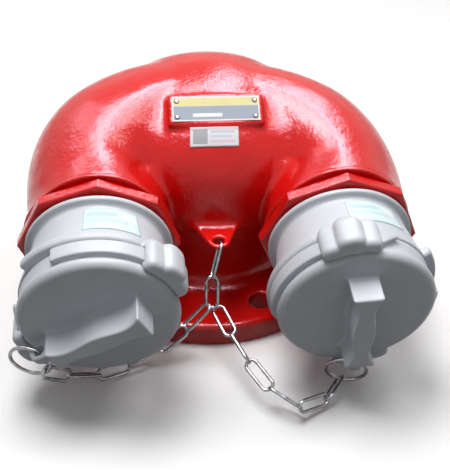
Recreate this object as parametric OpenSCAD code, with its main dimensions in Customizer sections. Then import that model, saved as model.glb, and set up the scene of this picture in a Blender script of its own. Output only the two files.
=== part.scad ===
// Two-way fire department connection: a cast body on a round bolting flange, two side branches
// that bend forward to octagonal collars, and a claw coupling with a turning blank cap on each.
// The frame's origin is the centre of the flange's underside, +Z is up and the inlets face -Y.

/* [Flange and trunk] */
// Outside diameter of the bolting flange
flange_d = 220; // [210:1:230]
// Thickness of the flange
flange_t = 18; // [14:1:24]
// Bolt circle of the flange
bolt_circle_d = 180; // [178:1:184]
// Diameter of each bolt hole
bolt_hole_d = 18; // [14:1:20]
// Number of bolt holes
bolt_count = 8; // [4:4:8]
// Outside diameter of the trunk above the flange
trunk_d = 130; // [124:1:134]
// Waterway through the flange and the trunk
waterway_d = 100; // [90:1:104]
// Cove between the flange and the trunk
flange_cove = 9; // [4:1:10]

/* [Dome] */
// Largest diameter of the dome
dome_d = 152; // [148:1:160]
// Height of the dome above the branches' centre line
dome_rise = 66; // [62:1:70]
// Radius of the chamber inside the dome
chamber_r = 56; // [50:1:57]

/* [Branches] */
// Distance of each inlet's axis from the centre line, at its collar
inlet_offset = 82; // [80:1:90]
// Distance of the collar faces in front of the trunk's axis
inlet_reach = 98; // [96:1:106]
// Height of the inlet axes at the collar faces
inlet_height = 86; // [84:1:96]
// Downward tilt of both branches, in degrees
inlet_tilt = 8; // [4:1:10]
// Outward splay of each inlet, in degrees
inlet_splay = 1.5; // [0:0.5:3]
// Radius of the bend in each branch
bend_r = 70; // [66:1:74]
// Outside radius of a branch where it leaves the dome
branch_root_r = 64; // [60:1:66]
// Outside radius of a branch at its collar
branch_end_r = 50.5; // [49.5:0.5:52]
// Radius of the waterway in a branch
branch_bore_r = 43; // [42:0.5:43.5]

/* [Collars] */
// Octagonal collar, across its corners
collar_corners_d = 110; // [106:1:116]
// Length of the octagonal collar
collar_t = 8; // [6:1:12]
// Radius of the threaded mouth in the collar
thread_r = 37.5; // [36.5:0.5:38]
// Depth of the threaded mouth
thread_depth = 22; // [21:0.5:22.5]
// Thickness of the lip that the clapper shuts against
seat_lip_t = 8; // [6:0.5:8.5]
// Radius of the way through the lip
seat_r = 31; // [28:0.5:31]

/* [Chain ear] */
// Height of the ear's upper face
ear_z = 82; // [78:1:86]
// Thickness of the ear
ear_t = 3.6; // [3:0.2:3.8]
// Distance of the ear's hole in front of the trunk's axis
ear_reach = 91; // [88:1:94]
// Radius of the ear's hole
ear_hole_r = 4; // [3.6:0.2:4.4]
// Metal round the ear's hole
ear_rim = 3.6; // [3:0.2:3.8]
// Half width of the ear at its root
ear_half_w = 21; // [16:1:24]

/* [Clapper] */
// Radius of the clapper's disc
clapper_r = 33.5; // [32.5:0.5:34]
// Thickness of the clapper's disc
clapper_t = 4; // [3:0.5:5]
// Thickness of the rubber facing
facing_t = 3; // [2:0.5:4]
// Radius of the hinge pin
hinge_pin_r = 2.5; // [2:0.1:2.8]
// Height of the hinge pin above the inlet's axis
hinge_rise = 37.5; // [37:0.5:38]
// Radius of the clapper's knuckle
knuckle_r = 4.2; // [3.8:0.1:4.4]
// Half the width of the clapper's knuckle
knuckle_half_w = 7.5; // [6:0.5:9]
// Thickness of each hinge lug
hinge_lug_t = 5; // [4:0.5:6]

/* [Coupling] */
// Outside diameter of the coupling's lugged ring
ring_d = 111; // [109:0.5:113]
// Radius of the coupling's rim beside the collar
rim_r = 49.5; // [48:0.5:51]
// Distance from the collar to the coupling's front face
coupling_l = 46; // [44:1:50]
// Radius of the barrel behind its rim
barrel_root_r = 44.6; // [43.5:0.1:46]
// Radius of the barrel at its front face
barrel_front_r = 52; // [51.5:0.1:52.4]
// Radius of the waterway in the coupling
coupling_bore_r = 32.5; // [31.5:0.5:33]
// Length of the threaded shank
shank_l = 20; // [16:1:21]
// Length of the coupling's own lugs along its axis
coupling_lug_l = 8; // [6:1:10]
// Clockwise turn of the left coupling's claws from the top, in degrees
left_claw_turn = 51; // [45:1:57]
// Clockwise turn of the right coupling's claws from the top, in degrees
right_claw_turn = -11; // [-17:1:-5]
// Radius of each claw's middle lobe
claw_mid_r = 9.6; // [9.2:0.1:10]
// Radius of each claw's side lobes
claw_side_r = 8; // [7.6:0.1:8.4]
// Angle from the middle lobe to a side lobe, in degrees
claw_pitch = 12; // [11:0.5:12.5]

/* [Cap] */
// Length of the cap's lugs along its axis
cap_lug_l = 10.7; // [10:0.1:12]
// Radius of the cap's drum
cap_drum_r = 51; // [50:0.1:51.2]
// Radius of the cap's rounded rim
cap_rim_r = 52.5; // [52:0.1:52.5]
// Rounding of the cap's rim
cap_round = 5.3; // [4:0.1:6]
// Length of the cap in front of the coupling's face
cap_l = 19.2; // [18.6:0.1:20]
// Thickness of the cap's plate
cap_plate_t = 6; // [4:0.5:7]
// Angle that a cap's lug covers, in degrees
cap_lug_arc = 118; // [112:1:124]
// Angle from a claw to the cap's handle, in degrees
handle_lead = 8; // [4:1:12]
// Half the length of the handle
handle_half_l = 34; // [31:1:36]
// Height of the handle above the cap's plate
handle_h = 20.5; // [18:0.5:23]
// Half the thickness of the handle at its swells
handle_half_t = 7.4; // [6.6:0.1:8]
// Depth of the wave in the handle's sides
handle_wave = 1.7; // [1:0.1:2]
// Flare of the handle's sides at its two ends
handle_flare = 4; // [3:0.5:4.5]
// Distance of the cap ear's hole from the axis
cap_ear_reach = 43.5; // [42.5:0.5:44.5]
// Height of the cap ear's hole above the plate
cap_ear_rise = 7; // [6.5:0.5:8]
// Radius of the cap's ear round its hole
cap_ear_r = 7; // [6.6:0.1:7.4]
// Thickness of the cap's ear
cap_ear_t = 6; // [5:0.5:6.5]
// Radius of the hole in the cap's ear
cap_ear_hole_r = 3.8; // [3.7:0.1:4]

/* [Chain] */
// Thickness of the wire of the chain and the rings
wire_d = 2.4; // [2.3:0.1:2.4]
// Inside length of a link
link_pitch = 24.5; // [24.3:0.1:24.7]
// Outside width of a link
link_w = 10.4; // [10.3:0.1:10.6]
// Outside diameter of each ring
chain_ring_d = 30; // [28:1:32]
// Links from the middle of the chain to each ring
run_links = 6; // [6:1:6]

/* [Plate] */
// Width of the name plate
plate_w = 60; // [50:1:64]
// Height of the name plate
plate_h = 18; // [16:1:22]
// Thickness of the name plate
plate_t = 0.8; // [0.5:0.1:1.2]
// Width of the cast border round the plate
pad_border = 2.5; // [1.5:0.5:4]

/* [Clearances] */
// Clearance between a cap and the coupling it turns in
cap_gap = 0.3; // [0.25:0.05:0.35]
// Clearance round a fixed piece in its bore
fit_gap = 0.1; // [0.05:0.05:0.15]
// Clearance of the hinge pin in the clapper's knuckle
pin_gap = 0.08; // [0.05:0.01:0.09]
// Gap between one link and the next
link_gap = 0.8; // [0.75:0.05:0.85]
// Thickness of the gasket behind each coupling
gasket_t = 1.5; // [1:0.5:2]

/* [Hidden] */
sides = ["left", "right"];
link_total = 2 + 2 * run_links;
$fn = 96;
eps = 0.01;
red = [0.78, 0.05, 0.04];
grey = [0.78, 0.80, 0.83];
steel = [0.62, 0.63, 0.65];
rubber = [0.12, 0.12, 0.12];
bronze = [0.70, 0.52, 0.28];

// The branches lie in one plane, tilted about the X axis through the dome's centre
centre_z = inlet_height + inlet_reach * tan(inlet_tilt);
plane_reach = inlet_reach / cos(inlet_tilt);
bend_angle = 90 - inlet_splay;
run_out = (plane_reach - bend_r * (1 - cos(bend_angle))) / sin(bend_angle);
run_in = inlet_offset - bend_r * sin(bend_angle) - run_out * cos(bend_angle);
branch_l = run_in + bend_r * bend_angle * PI / 180 + run_out;

seat_back = -thread_depth - seat_lip_t;
seat_face_r = clapper_r + 1.5;
seat_face_l = 4;
facing_front = seat_back - cap_gap;
disc_front = facing_front - facing_t;
hinge_s = disc_front - clapper_t;
cap_back = coupling_l + cap_gap;
lug_front = cap_back + cap_lug_l;
hook_back = lug_front + cap_gap;
hook_r = cap_rim_r + 0.5;
claw_clear_r = ring_d / 2 + cap_gap;
claw_front = hook_back + 6.2;
cap_front = cap_back + cap_l;
ear_s = cap_front + cap_ear_rise;
seal_r = 40;
seal_depth = 5;
ring_r = (chain_ring_d - wire_d) / 2;
link_bend = (link_w - wire_d) / 2;

function claw_turn(side) = side < 0 ? left_claw_turn : right_claw_turn;
function handle_turn(side) = claw_turn(side) + handle_lead + 180;

// Turning a point about X or Z
function about_x(p, a) = [p[0], p[1] * cos(a) - p[2] * sin(a), p[1] * sin(a) + p[2] * cos(a)];
function about_z(p, a) = [p[0] * cos(a) - p[1] * sin(a), p[0] * sin(a) + p[1] * cos(a), p[2]];
function unit(v) = v / norm(v);

// A direction, then a point, given in an inlet's own frame: x right, y up, z out along its axis
function inlet_dir(side, p) = about_x(about_z(about_x(p, 90), side * inlet_splay), inlet_tilt);
function inlet_point(side, p) =
    [0, 0, centre_z] + about_x([side * inlet_offset, -plane_reach, 0], inlet_tilt) + inlet_dir(side, p);

module at_inlet(side) {
    translate([0, 0, centre_z]) rotate([inlet_tilt, 0, 0])
        translate([side * inlet_offset, -plane_reach, 0])
            rotate([0, 0, side * inlet_splay]) rotate([90, 0, 0]) children();
}

// Turns the Z axis to direction v and moves it to p, after a roll about itself
module aim(p, v, roll = 0) {
    translate(p) rotate([0, acos(v[2] / norm(v)), atan2(v[1], v[0])]) rotate([0, 0, roll]) children();
}

// A part of a ring between two clockwise angles from the top, as seen from the front
module ring_sector(a1, a2, r1, r2, z1, z2) {
    rotate([0, 0, 90 - a2]) rotate_extrude(angle = a2 - a1) translate([r1, z1]) square([r2 - r1, z2 - z1]);
}

// ---- body ----

// Place, heading and outside radius of a branch at a distance along its centre line
function branch_heading(l) =
    l < run_in ? 0 : min(bend_angle, (l - run_in) / bend_r * 180 / PI);
function branch_centre(l) =
    l < run_in ? [l, 0] :
    l < branch_l - run_out ?
        [run_in + bend_r * sin(branch_heading(l)), -bend_r * (1 - cos(branch_heading(l)))] :
        [run_in + bend_r * sin(bend_angle), -bend_r * (1 - cos(bend_angle))]
        + (l - branch_l + run_out) * [cos(bend_angle), -sin(bend_angle)];
function branch_radius(l) = branch_end_r + (branch_root_r - branch_end_r) * (1 - l / branch_l);

branch_rings = 16;
branch_sides = 40;

// Lofts rings along the branch into one closed skin: the outside, or a bore of one radius
module branch_skin(length, bore) {
    points = [for (k = [0 : branch_rings]) let (
            l = length * k / branch_rings,
            c = branch_centre(l), h = branch_heading(l), r = bore > 0 ? bore : branch_radius(l))
        for (i = [0 : branch_sides - 1]) let (a = 360 * i / branch_sides)
            [c[0] + r * cos(a) * sin(h), c[1] + r * cos(a) * cos(h), r * sin(a)]];
    faces = concat(
        [[for (i = [0 : branch_sides - 1]) i]],
        [for (k = [0 : branch_rings - 1], i = [0 : branch_sides - 1]) let (
                j = (i + 1) % branch_sides, a = k * branch_sides)
            [a + i, a + branch_sides + i, a + branch_sides + j, a + j]],
        [[for (i = [branch_sides - 1 : -1 : 0]) branch_rings * branch_sides + i]]
    );
    polyhedron(points, faces, convexity = 6);
}

module in_branch_plane(side) {
    translate([0, 0, centre_z]) rotate([inlet_tilt, 0, 0]) mirror([side < 0 ? 1 : 0, 0, 0]) children();
}

dome_r = dome_d / 2;
trunk_r = trunk_d / 2;
flange_edge = 2;

// Outline of the flange, trunk and dome, turned about the Z axis
body_outline = concat(
    [[0, 0], [flange_d / 2 - 1, 0], [flange_d / 2, 1], [flange_d / 2, flange_t - flange_edge],
        [flange_d / 2 - flange_edge, flange_t]],
    [for (a = [0 : 15 : 90]) [trunk_r + flange_cove * (1 - sin(a)), flange_t + flange_cove * (1 - cos(a))]],
    [for (t = [0.25 : 0.25 : 0.75]) let (e = (1 - cos(180 * t)) / 2)
        [trunk_r + (dome_r - trunk_r) * e, (flange_t + flange_cove) * (1 - t) + centre_z * t]],
    [for (a = [0 : 7.5 : 82.5]) [dome_r * cos(a), centre_z + dome_rise * sin(a)]],
    [[0, centre_z + dome_rise]]
);

// The plate's seat on the dome
plate_lean = 56;
plate_y = -41;
plate_z = centre_z + dome_rise * sqrt(1 - pow(plate_y / dome_r, 2)) + 1.2;

module on_plate() {
    translate([0, plate_y, plate_z]) rotate([90 - plate_lean, 0, 0]) children();
}

module ear_outline() {
    tip_r = ear_hole_r + ear_rim;
    root = [ear_half_w, -trunk_r + 4];
    to_root = root + [0, ear_reach];
    a = atan2(to_root[1], to_root[0]) - acos(tip_r / norm(to_root));
    touch = [tip_r * cos(a), -ear_reach + tip_r * sin(a)];
    translate([0, -ear_reach]) circle(r = tip_r);
    polygon([[-root[0], root[1] + 20], [-root[0], root[1]], [-touch[0], touch[1]],
        [touch[0], touch[1]], root, [root[0], root[1] + 20]]);
}

module hinge_lugs(side) {
    lug_in = knuckle_half_w + cap_gap;
    at_inlet(side) for (m = [-1, 1]) {
        x = m < 0 ? -lug_in - hinge_lug_t : lug_in;
        intersection() {
            union() {
                translate([x, hinge_rise, hinge_s]) rotate([0, 90, 0]) cylinder(r = knuckle_r, h = hinge_lug_t);
                translate([x, hinge_rise, hinge_s - knuckle_r])
                    cube([hinge_lug_t, branch_bore_r, 2 * knuckle_r]);
            }
            translate([0, 0, seat_back - 30]) cylinder(r = branch_bore_r + 3, h = 30);
        }
    }
}

module body() {
    color(red) difference() {
        union() {
            difference() {
                union() {
                    rotate_extrude() polygon(body_outline);
                    for (side = [-1, 1]) {
                        in_branch_plane(side) branch_skin(branch_l - collar_t / 2, 0);
                        at_inlet(side) translate([0, 0, -collar_t])
                            cylinder(r = collar_corners_d / 2, h = collar_t, $fn = 8);
                    }
                    translate([0, 0, ear_z - ear_t]) linear_extrude(ear_t) ear_outline();
                    on_plate() translate([-plate_w / 2 - pad_border, -plate_h / 2 - pad_border, -14])
                        cube([plate_w + 2 * pad_border, plate_h + 2 * pad_border, 14]);
                }
                translate([0, 0, -1]) cylinder(d = waterway_d, h = centre_z + 1);
                translate([0, 0, centre_z]) sphere(r = chamber_r);
                for (side = [-1, 1]) in_branch_plane(side) branch_skin(branch_l + seat_back - 1, branch_bore_r);
            }
            for (side = [-1, 1]) hinge_lugs(side);
        }
        for (side = [-1, 1]) at_inlet(side) {
            translate([0, 0, -thread_depth]) cylinder(r = thread_r, h = thread_depth + 1);
            translate([0, 0, seat_back - 1]) cylinder(r = seat_r, h = seat_lip_t + 2);
            translate([0, 0, seat_back - seat_face_l]) cylinder(r = seat_face_r, h = seat_face_l);
            translate([-knuckle_half_w - hinge_lug_t - 1, hinge_rise, hinge_s]) rotate([0, 90, 0])
                cylinder(r = hinge_pin_r + fit_gap / 2, h = 2 * (knuckle_half_w + hinge_lug_t + 1));
        }
        for (i = [0 : bolt_count - 1]) rotate([0, 0, 360 * (i + 0.5) / bolt_count])
            translate([bolt_circle_d / 2, 0, -1]) cylinder(d = bolt_hole_d, h = flange_t + 2);
        translate([0, -ear_reach, ear_z - ear_t - 1]) cylinder(r = ear_hole_r, h = ear_t + 2);
        for (x = [-1, 1], y = [-1, 1]) on_plate() translate([x * rivet_x, y * rivet_y, -rivet_l])
            cylinder(r = rivet_r, h = rivet_l + 1);
    }
}

// ---- name plate ----

rivet_r = 1;
rivet_l = 3;
rivet_head_r = 1.9;
rivet_x = plate_w / 2 - 3.2;
rivet_y = plate_h / 2 - 3.2;

module name_plate() {
    color([0.80, 0.82, 0.80]) on_plate() difference() {
        translate([-plate_w / 2, -plate_h / 2, 0]) cube([plate_w, plate_h, plate_t]);
        for (x = [-1, 1], y = [-1, 1]) translate([x * rivet_x, y * rivet_y, -1])
            cylinder(r = rivet_r + fit_gap, h = plate_t + 2);
    }
}

module plate_rivets() {
    color(steel) on_plate() for (x = [-1, 1], y = [-1, 1]) translate([x * rivet_x, y * rivet_y, 0]) {
        translate([0, 0, -rivet_l + 0.2]) cylinder(r = rivet_r - fit_gap / 2, h = rivet_l + plate_t);
        translate([0, 0, plate_t]) cylinder(r1 = rivet_head_r, r2 = 1.1, h = 0.9);
    }
}

// ---- inlet pieces, in the inlet's own frame ----

// Outline of a claw: a middle lobe and two side lobes
module claw_outline(inset) {
    mid_reach = ring_d / 2 + 0.6;
    side_reach = ring_d / 2 - 2;
    translate([0, mid_reach]) circle(r = claw_mid_r - inset);
    for (m = [-1, 1]) rotate([0, 0, m * claw_pitch]) translate([0, side_reach])
        circle(r = claw_side_r - inset);
}

module claw() {
    claw_back = 37;
    blunt_l = 3;
    translate([0, 0, claw_back + blunt_l]) linear_extrude(claw_front - claw_back - blunt_l) claw_outline(0);
    translate([0, 0, claw_back]) linear_extrude(blunt_l + 1) claw_outline(2.5);
}

// The coupling's own lug: it stands furthest out at its leading end and dies away along the ring
module coupling_lug() {
    lug_start = 68;
    lug_arc = 92;
    swell = 1.4;
    swell_arc = 66;
    lug_root_r = 46;
    steps = 20;
    function lug_turn(i) = 90 - lug_start - lug_arc * i / steps;
    function lug_r(i) = ring_d / 2 + swell * (1 + cos(180 * min(1, lug_arc * i / steps / swell_arc))) / 2;
    translate([0, 0, coupling_l - coupling_lug_l]) linear_extrude(coupling_lug_l - 0.5) polygon(concat(
        [for (i = [0 : steps]) lug_r(i) * [cos(lug_turn(i)), sin(lug_turn(i))]],
        [for (i = [steps : -4 : 0]) lug_root_r * [cos(lug_turn(i)), sin(lug_turn(i))]]
    ));
}

module coupling(side) {
    color(grey) at_inlet(side) rotate([0, 0, -claw_turn(side)]) difference() {
        union() {
            rotate_extrude() polygon([
                [coupling_bore_r, -shank_l], [thread_r - fit_gap - 1, -shank_l],
                [thread_r - fit_gap, 1 - shank_l], [thread_r - fit_gap, gasket_t],
                [rim_r - 0.5, gasket_t], [rim_r, gasket_t + 0.5],
                [rim_r, gasket_t + 3], [rim_r - 0.6, gasket_t + 3.8],
                [barrel_root_r + 1.8, gasket_t + 4.4], [barrel_root_r + 0.5, gasket_t + 5.4],
                [barrel_root_r, gasket_t + 7],
                [barrel_front_r, coupling_l + 1],
                [coupling_bore_r, coupling_l + 1]]);
            for (half = [0, 180]) rotate([0, 0, half]) {
                claw();
                coupling_lug();
            }
        }
        rotate_extrude() polygon([[0, coupling_l - seal_depth], [seal_r, coupling_l - seal_depth],
            [seal_r, coupling_l], [claw_clear_r, coupling_l], [claw_clear_r, hook_back],
            [hook_r, hook_back], [hook_r, claw_front + 1], [0, claw_front + 1]]);
    }
}

module thread_gasket(side) {
    color(rubber) at_inlet(side) difference() {
        cylinder(r = rim_r - 2.5, h = gasket_t);
        translate([0, 0, -1]) cylinder(r = thread_r, h = gasket_t + 2);
    }
}

module coupling_seal(side) {
    color(rubber) at_inlet(side) translate([0, 0, coupling_l - seal_depth]) difference() {
        cylinder(r = seal_r - fit_gap, h = seal_depth + fit_gap);
        translate([0, 0, -1]) cylinder(r = coupling_bore_r + 0.3, h = seal_depth + 2);
    }
}

module hinge_pin(side) {
    pin_l = 2 * (knuckle_half_w + cap_gap + hinge_lug_t) - 0.6;
    color(steel) at_inlet(side) translate([-pin_l / 2, hinge_rise, hinge_s]) rotate([0, 90, 0])
        cylinder(r = hinge_pin_r, h = pin_l);
}

module clapper(side) {
    arm_w = 9;
    color(bronze) at_inlet(side) difference() {
        union() {
            translate([0, 0, disc_front - clapper_t]) cylinder(r = clapper_r, h = clapper_t);
            translate([-knuckle_half_w, hinge_rise, hinge_s]) rotate([0, 90, 0])
                cylinder(r = knuckle_r, h = 2 * knuckle_half_w);
            translate([-arm_w / 2, 0, hinge_s - knuckle_r])
                cube([arm_w, hinge_rise, knuckle_r + clapper_t / 2]);
            translate([0, 0, disc_front - clapper_t - 5]) cylinder(r = 8, h = 5 + eps);
        }
        translate([-knuckle_half_w - 1, hinge_rise, hinge_s]) rotate([0, 90, 0])
            cylinder(r = hinge_pin_r + pin_gap, h = 2 * knuckle_half_w + 2);
    }
}

module clapper_facing(side) {
    color(rubber) at_inlet(side) translate([0, 0, disc_front]) cylinder(r = clapper_r - 0.5, h = facing_t);
}

// Half the handle's thickness at a distance along it: a swell at the middle and at both ends
function handle_side(x) = handle_half_t - handle_wave * (1 - cos(360 * x / (1.22 * handle_half_l))) / 2 * 1.4
    + handle_flare * pow(abs(x) / handle_half_l, 6);

module handle() {
    n = 24;
    xs = [for (i = [0 : n]) handle_half_l * (2 * i / n - 1)];
    translate([0, 0, cap_front - 1]) linear_extrude(handle_h + 1) polygon(concat(
        [for (i = [0 : n]) [handle_side(xs[i]), xs[i]]],
        [for (i = [n : -1 : 0]) [-handle_side(xs[i]), xs[i]]]
    ));
    difference() {
        union() {
            translate([-cap_ear_t / 2, cap_ear_reach, ear_s]) rotate([0, 90, 0])
                cylinder(r = cap_ear_r, h = cap_ear_t);
            translate([-cap_ear_t / 2, handle_half_l - 2, ear_s - cap_ear_r])
                cube([cap_ear_t, cap_ear_reach - handle_half_l + 2, 2 * cap_ear_r]);
        }
        translate([-cap_ear_t, cap_ear_reach, ear_s]) rotate([0, 90, 0])
            cylinder(r = cap_ear_hole_r, h = 2 * cap_ear_t);
    }
}

module cap_lug() {
    lug_end = 27;
    taper_l = 13;
    taper_h = 8;
    difference() {
        ring_sector(lug_end - cap_lug_arc, lug_end, cap_drum_r - 1, ring_d / 2, cap_back, lug_front);
        rotate([0, 0, -lug_end]) translate([0, cap_drum_r - 6, lug_front - taper_h])
            rotate([0, atan(taper_h / taper_l), 0]) translate([-30, 0, 0]) cube([60, 20, 20]);
    }
}

module cap(side) {
    cavity_r = 31;
    groove_in = 43;
    groove_out = 47.5;
    round_z = cap_front - cap_round;
    color(grey) at_inlet(side) rotate([0, 0, -handle_turn(side)]) {
        rotate([0, 0, 32]) rotate_extrude() polygon(concat(
            [[0, cap_front - cap_plate_t], [cavity_r, cap_front - cap_plate_t],
                [cavity_r, cap_back + seal_depth], [seal_r, cap_back + seal_depth],
                [seal_r, cap_back], [groove_in, cap_back],
                [groove_in, cap_front - cap_plate_t - 1.5], [groove_out, cap_front - cap_plate_t - 1.5],
                [groove_out, cap_back], [cap_drum_r, cap_back], [cap_drum_r, lug_front + 0.2],
                [cap_rim_r, lug_front + 2.4]],
            [for (a = [0 : 15 : 90])
                [cap_rim_r - cap_round + cap_round * cos(a), round_z + cap_round * sin(a)]],
            [[0, cap_front]]
        ));
        for (half = [0, 180]) rotate([0, 0, half]) cap_lug();
        handle();
    }
}

module cap_seal(side) {
    color(rubber) at_inlet(side) translate([0, 0, cap_back + fit_gap]) difference() {
        cylinder(r = seal_r - fit_gap, h = seal_depth - fit_gap);
        translate([0, 0, -1]) cylinder(r = coupling_bore_r + 0.3, h = seal_depth + 2);
    }
}

// ---- chain ----

// The rings. The wire runs through the ear's hole, turned a little in it each way, and the ring
// hangs outwards along the handle, with its far side leaning back against the claw.
ring_lean = [25, 16];
ring_drop = [-13, -12];
ring_twist = [6, -14];
ring_hold = [-101, 176];
ring_seat = 0.5;

function pick(side, v) = side < 0 ? v[0] : v[1];
function ear_out(side) = let (a = handle_turn(side)) inlet_dir(side, [sin(a), cos(a), 0]);
function ear_across(side) = let (a = handle_turn(side))
    inlet_dir(side, [-side * cos(a), side * sin(a), 0]);
function axis_out(side) = inlet_dir(side, [0, 0, 1]);
function ring_hang(side) = let (d = pick(side, ring_drop))
    cos(d) * ear_out(side) + sin(d) * axis_out(side);
function ring_radial(side) = let (g = pick(side, ring_lean))
    cos(g) * ring_hang(side) - sin(g) * ear_across(side);
function ring_tangent(side) = let (g = pick(side, ring_lean), k = pick(side, ring_twist),
    flat = cos(g) * ear_across(side) + sin(g) * ring_hang(side))
    cos(k) * flat + sin(k) * cross(ring_radial(side), flat) * -side;
function ring_centre(side) = let (a = handle_turn(side))
    inlet_point(side, [cap_ear_reach * sin(a), cap_ear_reach * cos(a), ear_s])
    + (ring_r + ring_seat) * ring_radial(side);
function ring_normal(side) = cross(ring_radial(side), ring_tangent(side));
function ring_spoke(side, a) = -cos(a) * ring_radial(side) + sin(a) * ring_tangent(side);

module cap_ring(side) {
    color(steel) aim(ring_centre(side), ring_normal(side))
        rotate_extrude() translate([ring_r, 0]) circle(d = wire_d, $fn = 24);
}

// Joints of the chain. Each lies between the inside end of one link and the wire that it holds.
hook = (wire_d + link_gap) / 2;
step = link_pitch - link_gap;
chain_lean = unit([-6, -13.5, -16.1]);
chain_hang = unit([0.3, -4.6, -23.8]);
rim_middle = [0, -ear_reach - ear_hole_r - ear_rim / 2, ear_z - ear_t / 2];
joint_ear = rim_middle - (ear_rim * 0.72 + 0.35) * chain_lean;
joint_a = joint_ear + (link_pitch - link_gap / 2) * chain_lean;
joint_b = joint_a + step * chain_hang;
fork_place = [[-3.1, 0.8, 1.5], [4.4, 1.5, -1.8]];
run_first = [unit([-14, -4, -20]), unit([9, -20, -6])];
run_last = [unit([-17, -8, 15]), unit([19, 13, 1])];
function run_start(side) = joint_b + hook * (chain_hang - pick(side, run_first)) + pick(side, fork_place);
function run_end(side) = ring_centre(side) + ring_r * ring_spoke(side, pick(side, ring_hold))
    + hook * pick(side, run_last);

// A hanging run: a parabola between its ends, with its sag found so that the links just fit.
// The right run is pulled out in front of the flange, so its sag leans forwards.
run_lean = [-8, 80];
function run_at(side, sag, t) = let (a = pick(side, run_lean))
    run_start(side) + (run_end(side) - run_start(side)) * t
    - 4 * sag * t * (1 - t) * [0, sin(a), cos(a)];
function run_next(side, sag, t, lo, hi, n) = n == 0 ? (lo + hi) / 2 :
    let (m = (lo + hi) / 2)
    norm(run_at(side, sag, m) - run_at(side, sag, t)) < step
        ? run_next(side, sag, t, m, hi, n - 1) : run_next(side, sag, t, lo, m, n - 1);
function run_stops(side, sag, k) = k == 0 ? [0] :
    let (before = run_stops(side, sag, k - 1), t = before[len(before) - 1])
    concat(before, [run_next(side, sag, t, t, t + 0.6, 22)]);
function run_sag(side, lo, hi, n) = n == 0 ? (lo + hi) / 2 :
    let (m = (lo + hi) / 2, stops = run_stops(side, m, run_links))
    stops[run_links] > 1 ? run_sag(side, m, hi, n - 1) : run_sag(side, lo, m, n - 1);
function run_joints(side) = let (sag = run_sag(side, 1, 120, 24))
    [for (t = run_stops(side, sag, run_links)) run_at(side, sag, t)];
left_joints = run_joints(-1);
right_joints = run_joints(1);

// Roll of each link about its own length, so that it hangs clear of the wires that it holds
run_rolls = [[94, 41, 135, 40, 119, 17], [111, 29, 124, 42, 153, 38]];

// One link between two joints: two straight wires and two bends
module chain_link(p, q, roll) {
    straight = link_pitch + wire_d - 2 * link_bend;
    color(steel) aim((p + q) / 2, q - p, roll) {
        for (m = [-1, 1]) translate([m * link_bend, 0, -straight / 2]) cylinder(d = wire_d, h = straight, $fn = 24);
        for (m = [0, 1]) mirror([0, 0, m]) translate([0, 0, straight / 2]) rotate([90, 0, 0])
            rotate_extrude(angle = 180) translate([link_bend, 0]) circle(d = wire_d, $fn = 24);
    }
}

module chain_link_middle(i) {
    if (i == 1) chain_link(joint_ear, joint_a, 152);
    if (i == 2) chain_link(joint_a, joint_b, 97);
}

module chain_link_run(side, i) {
    joints = side < 0 ? left_joints : right_joints;
    chain_link(joints[i - 1], joints[i], pick(side, run_rolls)[i - 1]);
}

body();
name_plate();
plate_rivets();
for (side = [-1, 1]) {
    s = side < 0 ? "left" : "right";
    coupling(side);
    thread_gasket(side);
    coupling_seal(side);
    hinge_pin(side);
    clapper(side);
    clapper_facing(side);
    cap(side);
    cap_seal(side);
    cap_ring(side);
    for (i = [1 : run_links])
        chain_link_run(side, i);
}
for (i = [1 : 2]) chain_link_middle(i);
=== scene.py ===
import math
import bpy
import numpy as np
from mathutils import Matrix, Vector


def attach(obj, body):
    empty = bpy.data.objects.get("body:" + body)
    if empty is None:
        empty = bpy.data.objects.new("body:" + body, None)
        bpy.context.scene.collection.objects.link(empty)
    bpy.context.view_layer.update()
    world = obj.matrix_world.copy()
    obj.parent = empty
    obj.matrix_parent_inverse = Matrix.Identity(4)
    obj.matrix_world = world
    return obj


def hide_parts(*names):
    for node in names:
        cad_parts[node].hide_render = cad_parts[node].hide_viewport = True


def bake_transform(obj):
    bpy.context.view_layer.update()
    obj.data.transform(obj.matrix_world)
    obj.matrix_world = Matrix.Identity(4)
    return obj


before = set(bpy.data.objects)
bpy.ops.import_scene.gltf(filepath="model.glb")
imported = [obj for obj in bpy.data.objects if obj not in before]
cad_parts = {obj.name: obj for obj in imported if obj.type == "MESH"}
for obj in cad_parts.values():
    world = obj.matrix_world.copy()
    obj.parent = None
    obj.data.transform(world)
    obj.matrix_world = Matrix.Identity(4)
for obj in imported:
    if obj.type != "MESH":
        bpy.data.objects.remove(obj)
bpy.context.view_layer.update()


# Blended castings: a distance worked out on a grid, then a net of four-sided faces

def softUnion(a, b, soft):
    # the smaller of two distances, rounded where they differ by less than soft
    near = np.maximum(soft - np.abs(a - b), 0.0) / soft
    return np.minimum(a, b) - near * near * soft * 0.25


def softMeet(a, b, soft):
    # the larger of two distances, rounded in the same way
    return -softUnion(-a, -b, soft)


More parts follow.
